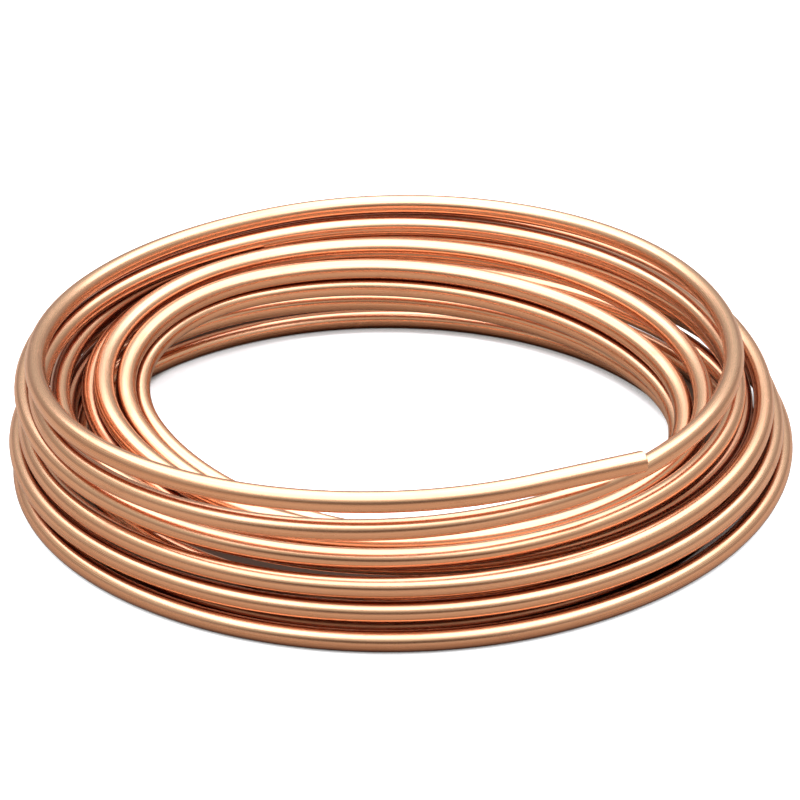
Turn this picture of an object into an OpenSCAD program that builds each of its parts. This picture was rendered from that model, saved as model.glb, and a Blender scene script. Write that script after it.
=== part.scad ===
// A loose coil of soft copper tube, as it lies on a bench once its wrapping is off.
// It is one length of tube. Millimetres, +Z up, the coil flat on z = 0 with its eye round the Z axis.
// The length is wound in half turns. Each half turn lies in a plane of its own, which tilts up or down,
// and is two quarter bends of slightly different radius that meet on one tangent. All the tube's passes
// through the front (-Y) and the back (+Y) of the coil run along X, so that any two half turns join there.
// The upper cut end points along +X at the front, on a short straight length.

/* [Tube] */
// Outside diameter of the tube
tube_od = 8; // [6:0.5:12]
// Thickness of the tube's wall
tube_wall = 0.6; // [0.5:0.1:1]

/* [Coil] */
// Coil diameter, from tube centre to tube centre, that the outer layer is laid at
coil_d = 292; // [240:2:400]
// Space left between two strands that lie against each other
slack = 0.4; // [0.4:0.1:1]

/* [Ends] */
// Straight length at the upper cut end
tail_l = 44; // [20:2:80]

/* [Hidden] */
$fn = 48;

// One strand to the next, centre to centre
pitch = tube_od + slack;

// Where the tube passes the front and the back in turn, from the upper end to the lower one, in pitches:
// how far right of the middle, how far outside the coil diameter, and how high above the floor strand.
lay = [
    // outer layer, from the top down
    [-1.5, -0.3, 6.8], [1.3, -0.3, 5.1],
    [-2.4, -0.9, 5.3], [1.1, -0.8, 4.2],
    [-1.0, -1.6, 3.2], [0.8, 1.0, 4.1],
    [-0.7, -0.6, 2.3], [1.6, 1.2, 2.1],
    [-0.5, -0.4, 1.2], [1.8, 2.1, 1.0],
    // on the floor, from the outer layer in to the inner one
    [-0.7, 0.0, 0.0], [0.4, 0.3, 0.0],
    [-0.9, -1.3, 0.0], [-0.5, -2.4, 0.0],
    [0.0, -3.6, 0.0],
    // inner layer, from the floor up
    [-1.6, -3.2, 1.6], [3.3, -6.8, 0.4],
    [-1.7, -4.7, 3.1], [2.0, -5.3, 1.2],
    [-1.5, -4.9, 4.1], [1.2, -4.3, 2.2],
    [-0.4, -3.2, 4.3],
    // and the last turns, between the two
    [-0.1, -3.0, 3.0], [0.9, -0.2, 3.3],
    [0.7, -2.7, 2.0], [-0.2, -1.4, 2.2],
    [2.8, -3.3, 1.0], [0.1, -1.6, 3.4],
];
halves = len(lay) - 1;
floor_pass = 10;

// The front passes have even numbers and the back passes odd ones. The tube heads left at the front
// and right at the back.
function side(k) = k % 2 == 0 ? -1 : 1;
function pass_x(k) = lay[k][0] * pitch;
function pass_y(k) = side(k) * (coil_d / 2 + lay[k][1] * pitch);
function pass_z(k) = tube_od / 2 + lay[k][2] * pitch;
function to_micron(length) = round(length * 1000) / 1000;

// Half turn k runs from pass k to pass k + 1. Its tilt is rounded to one whose cosine has six decimals,
// so that neighbouring bends meet on one circle.
function across(k) = abs(pass_y(k + 1) - pass_y(k));
function rise(k) = pass_z(k + 1) - pass_z(k);
function tilt(k) = sign(rise(k)) * acos(round(cos(atan2(rise(k), across(k))) * 1000000) / 1000000);
function both_r(k) = norm([across(k), rise(k)]);
function first_r(k) = to_micron((both_r(k) + side(k) * (pass_x(k + 1) - pass_x(k))) / 2);
function second_r(k) = to_micron(both_r(k)) - first_r(k);

// The first pass lies high enough for the lowest passes to lie on the floor
function drop(k) = -(first_r(k) + second_r(k)) * sin(tilt(k));
function drops(k) = k == 0 ? 0 : drops(k - 1) + drop(k - 1);
top_z = tube_od / 2 + drops(floor_pass);

// How far the coil reaches each way, so that its box can be centred on the origin
reach_left = max([for (k = [0:2:halves - 1]) first_r(k) - pass_x(k)]);
reach_right = max([for (k = [1:2:halves - 1]) first_r(k) + pass_x(k)]);
reach_front = max([for (k = [0:2:halves]) -pass_y(k)]);
reach_back = max([for (k = [1:2:halves]) pass_y(k)]);
mid_x = (reach_right - reach_left) / 2;
mid_y = (reach_back - reach_front) / 2;

// The tube's section, r from the centre of its bend
module section(r = 0) {
    translate([r, 0]) difference() {
        circle(d = tube_od);
        circle(d = tube_od - 2 * tube_wall);
    }
}

// A quarter bend of radius r round the Z axis, from the +X side to the +Y side
module quarter_bend(r) {
    rotate_extrude(angle = 90) section(r);
}

// Half turn k and all that follow it, heading +Y from the origin with the coil's inside at -X
module half_turns(k) {
    if (k < halves) {
        r1 = first_r(k);
        r2 = second_r(k);
        rotate([0, tilt(k), 0]) {
            translate([-r1, 0, 0]) quarter_bend(r1);
            translate([-r1, r1 - r2, 0]) rotate([0, 0, 90]) quarter_bend(r2);
            translate([-r1 - r2, r1 - r2, 0]) rotate([0, 0, 180]) rotate([0, tilt(k), 0]) half_turns(k + 1);
        }
    }
}

// The straight length behind the start of the first half turn
module tail() {
    rotate([90, 0, 0]) linear_extrude(tail_l) section();
}

module copper_tube() {
    color("peru") translate([pass_x(0) - mid_x, pass_y(0) - mid_y, top_z]) rotate([0, 0, 90]) mirror([1, 0, 0]) {
        half_turns(0);
        tail();
    }
}

copper_tube();
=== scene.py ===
"""Looks of the copper tube coil: the drawn tube with its bore and cut ends, a pale floor and soft light.

Metres, +Z up, the coil flat on z = 0 with its eye round the Z axis, as in the part's source.
"""

import logging
import math
from dataclasses import dataclass, field
from enum import Enum
from typing import Any, Iterator, Sequence

import bpy
import numpy as np
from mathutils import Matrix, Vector


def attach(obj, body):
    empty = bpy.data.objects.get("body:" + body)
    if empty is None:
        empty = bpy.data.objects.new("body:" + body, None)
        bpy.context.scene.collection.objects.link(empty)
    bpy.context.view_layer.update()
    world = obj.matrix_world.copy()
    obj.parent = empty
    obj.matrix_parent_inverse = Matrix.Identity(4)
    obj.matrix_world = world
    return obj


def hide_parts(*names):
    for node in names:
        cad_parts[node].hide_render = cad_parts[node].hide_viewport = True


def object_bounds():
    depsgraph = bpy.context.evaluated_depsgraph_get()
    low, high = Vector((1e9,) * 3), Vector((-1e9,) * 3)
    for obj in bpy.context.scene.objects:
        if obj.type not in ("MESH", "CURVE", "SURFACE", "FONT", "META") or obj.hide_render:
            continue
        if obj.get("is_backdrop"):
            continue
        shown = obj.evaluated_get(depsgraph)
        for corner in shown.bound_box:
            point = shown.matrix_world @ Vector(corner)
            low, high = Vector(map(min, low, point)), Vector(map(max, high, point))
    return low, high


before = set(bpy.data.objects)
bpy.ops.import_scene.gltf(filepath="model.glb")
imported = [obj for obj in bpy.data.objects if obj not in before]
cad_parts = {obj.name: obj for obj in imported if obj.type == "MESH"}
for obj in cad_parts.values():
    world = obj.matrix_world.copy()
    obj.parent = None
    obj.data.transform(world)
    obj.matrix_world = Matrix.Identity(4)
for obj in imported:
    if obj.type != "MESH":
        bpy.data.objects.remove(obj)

CAD_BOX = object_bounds()
NODE = "copper_tube"
BODY = "root"
REST = "drawn_straight"  # attribute: where a point lay before the tube was coiled, along X
MM = 0.001

log = logging.getLogger("copper_tube_coil")


# ---------------------------------------------------------------- shader bench


class Value:
    """A socket of a node tree that takes part in Python arithmetic, one Math node for each operation."""

    def __init__(self, bench: "Bench", socket: bpy.types.NodeSocket) -> None:
        """Wraps an output socket of the bench's tree."""
        self.bench = bench
        self.socket = socket

    def _math(self, operation: str, *others: "Value | float", swapped: bool = False) -> "Value":
        """Adds a Math node.

        Args:
            operation: the node's operation.
            others: the operands beside this one.
            swapped: True puts this value after the first operand.
        Returns:
            The node's result.
        """
        operands: list[Any] = [self, *others]
        if swapped:
            operands[0], operands[1] = operands[1], operands[0]
        return self.bench.add("ShaderNodeMath", {"operation": operation}, dict(enumerate(operands)))

    def __add__(self, other: "Value | float") -> "Value":
        """This plus other."""
        return self._math("ADD", other)

    __radd__ = __add__

    def __mul__(self, other: "Value | float") -> "Value":
        """This times other."""
        return self._math("MULTIPLY", other)

    __rmul__ = __mul__

    def __sub__(self, other: "Value | float") -> "Value":
        """This minus other."""
        return self._math("SUBTRACT", other)

    def __rsub__(self, other: "Value | float") -> "Value":
        """Other minus this."""
        return self._math("SUBTRACT", other, swapped=True)

    def sine(self) -> "Value":
        """The sine of this, in radians."""
        return self._math("SINE")

    def step(self, low: float, high: float) -> "Value":
        """Goes smoothly from 0 to 1 as this goes from low to high."""
        settings = {"interpolation_type": "SMOOTHSTEP"}
        return self.bench.add("ShaderNodeMapRange", settings, {0: self, 1: low, 2: high})


class Bench:
    """A node tree that starts empty but for its output, with one method that adds any node."""

    def __init__(self, owner: bpy.types.Material | bpy.types.World, output: str) -> None:
        """Clears the owner's tree and adds an output node of the given type."""
        owner.use_nodes = True
        self.owner = owner
        self.tree = owner.node_tree
        self.tree.nodes.clear()
        self.out = self.tree.nodes.new(output)

    @classmethod
    def for_material(cls, name: str) -> "Bench":
        """A bench for a new material of that name."""
        return cls(bpy.data.materials.new(name), "ShaderNodeOutputMaterial")

    def add(
        self,
        kind: str,
        settings: dict[str, Any] | None = None,
        inputs: dict[int | str, Any] | None = None,
        output: int | str = 0,
    ) -> Value:
        """Adds a node.

        Args:
            kind: the node's type.
            settings: its properties, which are set first.
            inputs: the values or links of its sockets, by place or name.
            output: which of its outputs is wanted.
        Returns:
            That output.
        """
        node = self.tree.nodes.new(kind)
        for name, value in (settings or {}).items():
            setattr(node, name, value)
        for key, value in (inputs or {}).items():
            if isinstance(value, Value):
                self.tree.links.new(value.socket, node.inputs[key])
            else:
                node.inputs[key].default_value = value
        return Value(self, node.outputs[output])

    def rest(self, along: float, across: float) -> Value:
        """The point on the straight tube, scaled.

        Args:
            along: scale along the tube, per metre.
            across: scale round and through the tube, per metre.
        Returns:
            The scaled vector.
        """
        place = self.add("ShaderNodeAttribute", {"attribute_name": REST}, output="Vector")
        scale = (along, across, across)
        return self.add("ShaderNodeVectorMath", {"operation": "MULTIPLY"}, {0: place, 1: scale})

    def noise(self, place: Value, detail: float = 2.0, roughness: float = 0.5) -> Value:
        """Noise from about 0.25 to 0.75 at a scaled place."""
        inputs = {"Vector": place, "Scale": 1.0, "Detail": detail, "Roughness": roughness}
        return self.add("ShaderNodeTexNoise", None, inputs)

    def length(self, place: Value, start: tuple[float, float, float]) -> Value:
        """How far a place is from a start."""
        way = self.add("ShaderNodeVectorMath", {"operation": "SUBTRACT"}, {0: place, 1: start})
        return self.add("ShaderNodeVectorMath", {"operation": "LENGTH"}, {0: way}, output="Value")

    def openness(self, reach: float) -> Value:
        """How open the surface is to what lies within reach, from 0 to 1."""
        return self.add("ShaderNodeAmbientOcclusion", {"samples": 8}, {"Distance": reach}, output="AO")

    def blend(self, amount: Value, low: Any, high: Any) -> Value:
        """A colour that goes from low to high with amount."""
        return self.add("ShaderNodeMix", {"data_type": "RGBA"}, {0: amount, 6: low, 7: high}, output=2)

    def metal(self, colour: Any, roughness: Any, height: Value, depth: float) -> bpy.types.Material:
        """Ends the tree in a metal surface.

        Args:
            colour: base colour.
            roughness: roughness.
            height: relief from 0 to 1.
            depth: how deep that relief is, in metres.
        Returns:
            The finished material.
        """
        normal = self.add("ShaderNodeBump", None, {"Strength": 1.0, "Distance": depth, "Height": height})
        surface = self.add(
            "ShaderNodeBsdfPrincipled",
            None,
            {"Base Color": colour, "Metallic": 1.0, "Roughness": roughness, "Normal": normal},
        )
        return self.end(surface)

    def end(self, surface: Value) -> bpy.types.Material | bpy.types.World:
        """Ends the tree in that surface and returns its owner."""
        self.tree.links.new(surface.socket, self.out.inputs["Surface"])
        return self.owner


# ---------------------------------------------------------------- finishes

Colour = tuple[float, float, float, float]


@dataclass(frozen=True)
class DrawnCopper:
    """The outside of bright annealed tube: satin copper with fine lines along its draw, and painted shade
    where strands lie close together.
    """

    bright: Colour = (0.88, 0.49, 0.30, 1.0)
    warm: Colour = (0.79, 0.40, 0.23, 1.0)
    handled: Colour = (0.64, 0.30, 0.165, 1.0)
    # painted shade: the dark colour that the copper takes between strands, and how far it looks for them
    crevice_shade: Colour = (0.36, 0.12, 0.06, 1.0)
    crevice_shade_reach: float = 12.0 * MM
    satin: float = 0.20
    streaked: float = 0.10
    worn: float = 0.12
    line_depth: float = 0.012 * MM

    def material(self) -> bpy.types.Material:
        """Builds the finish from draw lines, slow changes of tone, handled patches and painted shade between
        strands.
        """
        bench = Bench.for_material("drawn_copper")
        lines = bench.noise(bench.rest(9.0, 1500.0), detail=3.0, roughness=0.6)
        fine_lines = bench.noise(bench.rest(25.0, 5200.0), detail=2.0)
        tone = bench.noise(bench.rest(7.0, 90.0), detail=2.0)
        patches = bench.noise(bench.rest(38.0, 170.0), detail=4.0, roughness=0.6).step(0.56, 0.78)
        relief = lines * 0.7 + fine_lines * 0.3
        streak = lines.step(0.35, 0.7)
        clean = bench.blend((tone * 0.7 + streak * 0.3).step(0.25, 0.75), self.bright, self.warm)
        in_use = bench.blend(patches * 0.45, clean, self.handled)
        # painted shade: the colour goes dark where other strands lie close, as shade falls between them
        colour = bench.blend(bench.openness(self.crevice_shade_reach).step(0.2, 0.75), self.crevice_shade, in_use)
        roughness = self.satin + streak * self.streaked + patches * self.worn
        return bench.metal(colour, roughness, relief, self.line_depth)


@dataclass(frozen=True)
class BoreCopper:
    """The inside of the tube: duller and darker than the outside."""

    pale: Colour = (0.58, 0.27, 0.14, 1.0)
    dark: Colour = (0.34, 0.14, 0.07, 1.0)
    matt: float = 0.42
    blotched: float = 0.15
    line_depth: float = 0.02 * MM

    def material(self) -> bpy.types.Material:
        """Builds the finish from coarser draw lines and blotches."""
        bench = Bench.for_material("bore_copper")
        lines = bench.noise(bench.rest(14.0, 1100.0), detail=3.0)
        blotches = bench.noise(bench.rest(120.0, 420.0), detail=3.0).step(0.35, 0.7)
        colour = bench.blend(blotches, self.pale, self.dark)
        return bench.metal(colour, self.matt + blotches * self.blotched, lines, self.line_depth)


@dataclass(frozen=True)
class CutCopper:
    """The cut face at each end: fresh metal with the rings that the cutter's wheel leaves."""

    fresh: Colour = (0.93, 0.55, 0.33, 1.0)
    smeared: Colour = (0.74, 0.36, 0.19, 1.0)
    satin: float = 0.30
    grained: float = 0.15
    ring_pitch: float = 0.11 * MM
    ring_depth: float = 0.02 * MM

    def material(self) -> bpy.types.Material:
        """Builds the finish from rings round the bore, broken up by fine grain."""
        bench = Bench.for_material("cut_copper")
        across = bench.add(
            "ShaderNodeVectorMath", {"operation": "LENGTH"}, {0: bench.rest(0.0, 1.0)}, output="Value"
        )
        grain = bench.noise(bench.rest(900.0, 900.0), detail=3.0)
        rings = (across * (2.0 * math.pi / self.ring_pitch) + grain * 3.0).sine() * 0.5 + 0.5
        colour = bench.blend(rings * 0.5 + grain * 0.4, self.fresh, self.smeared)
        return bench.metal(colour, self.satin + grain * self.grained, rings, self.ring_depth)


class TubeFace(Enum):
    """The three surfaces of the tube, in the order of its material slots."""

    OUTSIDE = 0
    BORE = 1
    CUT = 2


FINISHES = {
    TubeFace.OUTSIDE: DrawnCopper(),
    TubeFace.BORE: BoreCopper(),
    TubeFace.CUT: CutCopper(),
}


# ---------------------------------------------------------------- the coil's lay


@dataclass(frozen=True)
class Pass:
    """Where the tube passes the front or the back of the coil, in pitches."""

    right: float
    out: float
    up: float


LAY = (
    # outer layer, from the top down
    Pass(-1.5, -0.3, 6.8), Pass(1.3, -0.3, 5.1),
    Pass(-2.4, -0.9, 5.3), Pass(1.1, -0.8, 4.2),
    Pass(-1.0, -1.6, 3.2), Pass(0.8, 1.0, 4.1),
    Pass(-0.7, -0.6, 2.3), Pass(1.6, 1.2, 2.1),
    Pass(-0.5, -0.4, 1.2), Pass(1.8, 2.1, 1.0),
    # on the floor, from the outer layer in to the inner one
    Pass(-0.7, 0.0, 0.0), Pass(0.4, 0.3, 0.0),
    Pass(-0.9, -1.3, 0.0), Pass(-0.5, -2.4, 0.0),
    Pass(0.0, -3.6, 0.0),
    # inner layer, from the floor up
    Pass(-1.6, -3.2, 1.6), Pass(3.3, -6.8, 0.4),
    Pass(-1.7, -4.7, 3.1), Pass(2.0, -5.3, 1.2),
    Pass(-1.5, -4.9, 4.1), Pass(1.2, -4.3, 2.2),
    Pass(-0.4, -3.2, 4.3),
    # and the last turns, between the two
    Pass(-0.1, -3.0, 3.0), Pass(0.9, -0.2, 3.3),
    Pass(0.7, -2.7, 2.0), Pass(-0.2, -1.4, 2.2),
    Pass(2.8, -3.3, 1.0), Pass(0.1, -1.6, 3.4),
)


@dataclass(frozen=True)
class Bend:
    """A quarter bend, or the straight tail where the radius is 0."""

    start: np.ndarray
    heading: np.ndarray
    inward: np.ndarray
    radius: float
    length: float

    def at(self, distance: np.ndarray) -> tuple[np.ndarray, np.ndarray]:
        """Points and headings at distances along the bend.

        Args:
            distance: distances from its start, in metres.
        Returns:
            The points and the unit headings there.
        """
        if self.radius == 0.0:
            return self.start + np.outer(distance, self.heading), np.tile(self.heading, (len(distance), 1))
        turned = (distance / self.radius)[:, None]
        ahead, inside = np.sin(turned), np.cos(turned)
        points = self.start + self.radius * (ahead * self.heading + (1.0 - inside) * self.inward)
        return points, inside * self.heading + ahead * self.inward


@dataclass(frozen=True)
class Coil:
    """The line that the middle of the tube follows, from the upper cut end to the lower one."""

    tube_od: float = 8.0 * MM
    coil_d: float = 292.0 * MM
    slack: float = 0.4 * MM
    tail_l: float = 44.0 * MM

    @property
    def pitch(self) -> float:
        """One strand to the next, centre to centre."""
        return self.tube_od + self.slack

    def place(self, number: int) -> np.ndarray:
        """Where pass number lies, before the coil is centred."""
        lay = LAY[number]
        reach = self.coil_d / 2 + lay.out * self.pitch
        side = -1 if number % 2 == 0 else 1
        return np.array([lay.right * self.pitch, side * reach, self.tube_od / 2 + lay.up * self.pitch])

    def half_turn(self, number: int) -> Iterator[Bend]:
        """The two quarter bends from one pass to the next."""
        start, end = self.place(number), self.place(number + 1)
        way = -1.0 if number % 2 == 0 else 1.0
        heading = np.array([way, 0.0, 0.0])
        across = np.array([0.0, *(end - start)[1:]])
        width = float(np.linalg.norm(across))
        inward = across / width
        first = (width + way * (end - start)[0]) / 2
        second = width - first
        yield Bend(start, heading, inward, first, first * math.pi / 2)
        corner = start + first * (heading + inward)
        yield Bend(corner, inward, -heading, second, second * math.pi / 2)

    def bends(self) -> list[Bend]:
        """The tail and all the quarter bends, in order."""
        first = self.place(0)
        tail_start = first + np.array([self.tail_l, 0.0, 0.0])
        tail = Bend(tail_start, np.array([-1.0, 0.0, 0.0]), np.zeros(3), 0.0, self.tail_l)
        return [tail, *(bend for k in range(len(LAY) - 1) for bend in self.half_turn(k))]

    def centre(self, bends: Sequence[Bend]) -> np.ndarray:
        """The middle of the coil's box, on plan."""
        points = np.vstack([bend.at(np.array([0.0, bend.length]))[0] for bend in bends])
        low, high = points.min(axis=0), points.max(axis=0)
        return np.array([(low[0] + high[0]) / 2, (low[1] + high[1]) / 2, 0.0])


# ---------------------------------------------------------------- the tube


@dataclass
class CopperTube:
    """The whole length of tube as one closed mesh: outside, bore and both cut faces."""

    coil: Coil = field(default_factory=Coil)
    wall: float = 0.6 * MM
    sides: int = 24
    outside_step: float = 3.6 * MM
    bore_step: float = 13.0 * MM
    edge: float = 0.12 * MM

    def stations(self, step: float) -> tuple[np.ndarray, np.ndarray, np.ndarray]:
        """Evenly spaced places along the whole tube.

        Args:
            step: the widest space between two of them, in metres.
        Returns:
            Points, unit headings and distances from the upper cut end.
        """
        bends = self.coil.bends()
        middle = self.coil.centre(bends)
        points, headings, distances, run = [], [], [], 0.0
        for number, bend in enumerate(bends):
            steps = math.ceil(bend.length / step)
            along = np.linspace(0.0, bend.length, steps + 1)[0 if number == 0 else 1:]
            place, heading = bend.at(along)
            points.append(place - middle)
            headings.append(heading)
            distances.append(run + along)
            run += bend.length
        return np.vstack(points), np.vstack(headings), np.concatenate(distances)

    def rings(self) -> Iterator[tuple[np.ndarray, np.ndarray, float, float, TubeFace]]:
        """The rings of the closed skin, out along the outside and back along the bore.

        Yields:
            A ring's centre, heading, distance along the tube, radius, and the face that follows it.
        """
        outer = self.coil.tube_od / 2
        inner = outer - self.wall
        edge = self.edge
        for radius, step, back, face in (
            (outer, self.outside_step, False, TubeFace.OUTSIDE),
            (inner, self.bore_step, True, TubeFace.BORE),
        ):
            points, headings, distances = self.stations(step)
            order = np.arange(len(points))[::-1] if back else np.arange(len(points))
            first, last = order[0], order[-1]
            inset = -edge if back else edge
            rounding = radius + edge if back else radius - edge
            # the edge of the cut face, then its foot on the wall, and a ring that holds the wall straight
            yield points[first], headings[first], distances[first], rounding, face
            for depth in (1.0, 3.0):
                shift = depth * inset
                place = points[first] + shift * headings[first]
                yield place, headings[first], distances[first] + shift, radius, face
            for k in order[1:-1]:
                yield points[k], headings[k], distances[k], radius, face
            for depth in (3.0, 1.0):
                shift = -depth * inset
                place = points[last] + shift * headings[last]
                yield place, headings[last], distances[last] + shift, radius, face
            yield points[last], headings[last], distances[last], rounding, TubeFace.CUT

    def build(self) -> bpy.types.Object:
        """Skins the rings into one mesh, with the straight tube's places as an attribute."""
        turn = np.arange(self.sides) * (2.0 * math.pi / self.sides)
        across, upward = np.cos(turn)[:, None], np.sin(turn)[:, None]
        shape, rest, faces = [], [], []
        for point, heading, distance, radius, face in self.rings():
            level = np.cross(heading, [0.0, 0.0, 1.0])
            level /= np.linalg.norm(level)
            rise = np.cross(level, heading)
            shape.append(point + radius * (across * level + upward * rise))
            rest.append(np.hstack([np.full((self.sides, 1), distance), radius * across, radius * upward]))
            faces.append(face.value)
        count = len(shape)
        ring = np.arange(count)[:, None] * self.sides
        next_ring = ((np.arange(count) + 1) % count)[:, None] * self.sides
        here, there = np.arange(self.sides), (np.arange(self.sides) + 1) % self.sides
        quads = np.stack([ring + here, next_ring + here, next_ring + there, ring + there], axis=-1)
        mesh = bpy.data.meshes.new("coiled_tube")
        mesh.from_pydata(np.vstack(shape).tolist(), [], quads.reshape(-1, 4).tolist())
        mesh.polygons.foreach_set("use_smooth", [True] * len(mesh.polygons))
        mesh.polygons.foreach_set("material_index", np.repeat(faces, self.sides).tolist())
        drawn = mesh.attributes.new(REST, "FLOAT_VECTOR", "POINT")
        drawn.data.foreach_set("vector", np.vstack(rest).astype(np.float32).ravel())
        mesh.update()
        tube = bpy.data.objects.new("coiled_tube", mesh)
        bpy.context.scene.collection.objects.link(tube)
        return tube

    def dress(self, tube: bpy.types.Object) -> None:
        """Gives each surface of the tube its finish."""
        for face in TubeFace:
            tube.data.materials.append(FINISHES[face].material())

    def add(self) -> None:
        """Builds the tube in place of the plain node."""
        tube = self.build()
        self.dress(tube)
        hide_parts(NODE)
        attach(tube, BODY)
        low = [round(min(c[i] for c in tube.bound_box), 5) for i in range(3)]
        high = [round(max(c[i] for c in tube.bound_box), 5) for i in range(3)]
        log.info("coiled_tube: %d faces, box %s to %s", len(tube.data.polygons), low, high)


# ---------------------------------------------------------------- the studio


@dataclass(frozen=True)
class Panel:
    """A soft light: a rectangle that faces the coil."""

    name: str
    place: tuple[float, float, float]
    size: tuple[float, float]
    power: float
    tint: tuple[float, float, float] = (1.0, 1.0, 1.0)

    def add(self) -> None:
        """Hangs the panel, turned towards the coil."""
        light = bpy.data.lights.new(self.name, "AREA")
        light.shape = "RECTANGLE"
        light.size, light.size_y = self.size
        light.energy = self.power
        light.color = self.tint
        lamp = bpy.data.objects.new(self.name, light)
        lamp.location = self.place
        lamp.rotation_euler = (-Vector(self.place)).to_track_quat("-Z", "Y").to_euler()
        bpy.context.scene.collection.objects.link(lamp)


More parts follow.
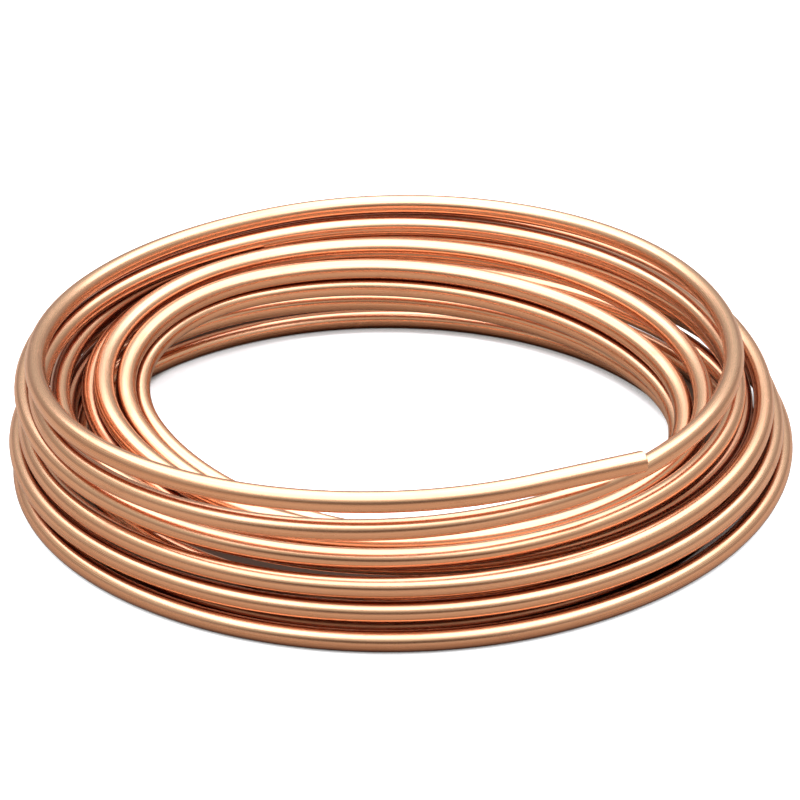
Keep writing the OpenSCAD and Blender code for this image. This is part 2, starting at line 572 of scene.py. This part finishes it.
@dataclass(frozen=True)
class Studio:
    """The floor, the light and the camera.

    The floor has painted shade where the coil covers it: outside the eye, and inside the outer turns.
    """

    floor_side: float = 8.0
    floor_drop: float = 0.2 * MM
    floor_tone: Colour = (0.85, 0.85, 0.85, 1.0)
    floor_glow: float = 0.75
    mirrored_tone: Colour = (0.33, 0.27, 0.21, 1.0)
    # painted shade on the floor: its tone, how far it looks for the tube, where it sets in, and the ring
    # under the coil where it lies
    shade_tone: Colour = (0.05, 0.025, 0.015, 1.0)
    shade_reach: float = 60.0 * MM
    shade_range: tuple[float, float] = (0.05, 0.22)
    eye_centre: tuple[float, float, float] = (6.0 * MM, 14.0 * MM, 0.0)
    eye_radius: float = 113.0 * MM
    coil_radius: float = 139.0 * MM
    soft_edge: float = 3.0 * MM
    panel_side: float = 3.6
    panel_distance: float = 1.6
    panel_elevation: float = 86.0
    panel_power: float = 100.0
    panel_tint: tuple[float, float, float] = (0.96, 0.98, 1.12)
    high_tone: Colour = (0.74, 0.84, 0.80, 1.0)
    wall_tone: Colour = (0.38, 0.36, 0.34, 1.0)
    under_tone: Colour = (0.34, 0.31, 0.30, 1.0)
    dim_tone: Colour = (0.13, 0.11, 0.10, 1.0)
    camera_azimuth: float = -114.6
    camera_elevation: float = 26.5
    camera_distance: float = 1.535
    lens: float = 176.3
    aim: tuple[float, float, float] = (-0.0051, -0.0090, 0.0273)

    def away(self, azimuth: float, elevation: float, distance: float) -> tuple[float, float, float]:
        """A place at an azimuth and elevation, in degrees, and a distance from the coil."""
        a, e = math.radians(azimuth), math.radians(elevation)
        flat = distance * math.cos(e)
        return flat * math.cos(a), flat * math.sin(a), distance * math.sin(e)

    def beyond(self, distance: Value, radius: float) -> Value:
        """Goes softly from 0 to 1 where the distance passes the radius."""
        return distance.step(radius - self.soft_edge, radius + self.soft_edge)

    def sheet(self, name: str, height: float, tone: Colour, glow: float) -> bpy.types.Object:
        """Lays a square sheet, with painted shade where the coil covers it.

        Args:
            name: its name.
            height: how high it lies, in metres.
            tone: its colour in the open.
            glow: how much of that colour it gives out by itself.
        Returns:
            The sheet.
        """
        half = self.floor_side / 2
        mesh = bpy.data.meshes.new(name)
        corners = [(-half, -half, height), (half, -half, height), (half, half, height), (-half, half, height)]
        mesh.from_pydata(corners, [], [(0, 1, 2, 3)])
        sheet = bpy.data.objects.new(name, mesh)
        bpy.context.scene.collection.objects.link(sheet)
        bench = Bench.for_material(name)
        place = bench.add("ShaderNodeTexCoord", output="Object")
        beyond_eye = self.beyond(bench.length(place, self.eye_centre), self.eye_radius)
        beyond_coil = self.beyond(bench.length(place, (0.0, 0.0, 0.0)), self.coil_radius)
        open_air = bench.openness(self.shade_reach).step(*self.shade_range)
        # painted shade: the sheet's colour and glow go to shade_tone under the coil and where the tube hems
        # it in
        colour = bench.blend(open_air * (1.0 - beyond_eye * (1.0 - beyond_coil)), self.shade_tone, tone)
        surface = bench.add(
            "ShaderNodeBsdfPrincipled",
            None,
            {"Base Color": colour, "Roughness": 0.9, "Emission Color": colour, "Emission Strength": glow},
        )
        mesh.materials.append(bench.end(surface))
        sheet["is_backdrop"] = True
        return sheet

    def add_floor(self) -> None:
        """Lays a white floor and, just above it, the darker sheet that the copper mirrors instead."""
        floor = self.sheet("floor", -self.floor_drop, self.floor_tone, self.floor_glow)
        floor.visible_glossy = False
        mirrored = self.sheet("mirrored_floor", 0.0, self.mirrored_tone, 0.0)
        mirrored.visible_camera = False
        mirrored.visible_diffuse = False
        mirrored.visible_shadow = False

    def add_light(self) -> None:
        """Hangs one wide panel overhead in a room that is pale above and darker below."""
        overhead = self.away(self.camera_azimuth + 180.0, self.panel_elevation, self.panel_distance)
        sides = (self.panel_side, self.panel_side)
        Panel("overhead", overhead, sides, self.panel_power, self.panel_tint).add()
        bench = Bench(bpy.data.worlds.new("pale_room"), "ShaderNodeOutputWorld")
        way = bench.add("ShaderNodeTexCoord", output="Generated")
        height = bench.add("ShaderNodeSeparateXYZ", None, {0: way}, output="Z")
        low_walls = bench.blend(height.step(-0.2, 0.05), self.under_tone, self.wall_tone)
        walls = bench.blend(height.step(0.1, 0.6), low_walls, self.high_tone)
        # the room is dim in front of the coil, in a low wide patch
        dim_way = Vector(self.away(self.camera_azimuth, 4.0, 1.0))
        from_patch = bench.add("ShaderNodeVectorMath", {"operation": "SUBTRACT"}, {0: way, 1: dim_way})
        squash = (1.0, 1.0, 2.2)
        squashed = bench.add("ShaderNodeVectorMath", {"operation": "MULTIPLY"}, {0: from_patch, 1: squash})
        reach = bench.add("ShaderNodeVectorMath", {"operation": "LENGTH"}, {0: squashed}, output="Value")
        tone = bench.blend(reach.step(0.5, 1.1), self.dim_tone, walls)
        bpy.context.scene.world = bench.end(bench.add("ShaderNodeBackground", None, {"Color": tone}))

    def add_camera(self) -> None:
        """Sets the camera to look down at the coil from its front."""
        data = bpy.data.cameras.new("camera")
        data.lens = self.lens
        camera = bpy.data.objects.new("camera", data)
        aim = Vector(self.aim)
        back_off = self.away(self.camera_azimuth, self.camera_elevation, self.camera_distance)
        camera.location = aim + Vector(back_off)
        camera.rotation_euler = (aim - camera.location).to_track_quat("-Z", "Y").to_euler()
        bpy.context.scene.collection.objects.link(camera)
        bpy.context.scene.camera = camera

    def add(self) -> None:
        """Adds the floor, the light and the camera."""
        self.add_floor()
        self.add_light()
        self.add_camera()
        bpy.context.scene.view_settings.view_transform = "Standard"
        log.info("studio: floor, light and camera")


def save_size() -> None:
    """Works out the frame's box and the finished model's box as plain lists of numbers; it does not write
    them.
    """
    boxes = {"cad": CAD_BOX, "visual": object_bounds()}
    plain = {name: [[float(v) for v in corner] for corner in box] for name, box in boxes.items()}


def main() -> None:
    """Builds the tube and the studio round the frame."""
    logging.basicConfig(level=logging.INFO, format="%(message)s")
    CopperTube().add()
    Studio().add()
    save_size()


if __name__ == "__main__":
    main()
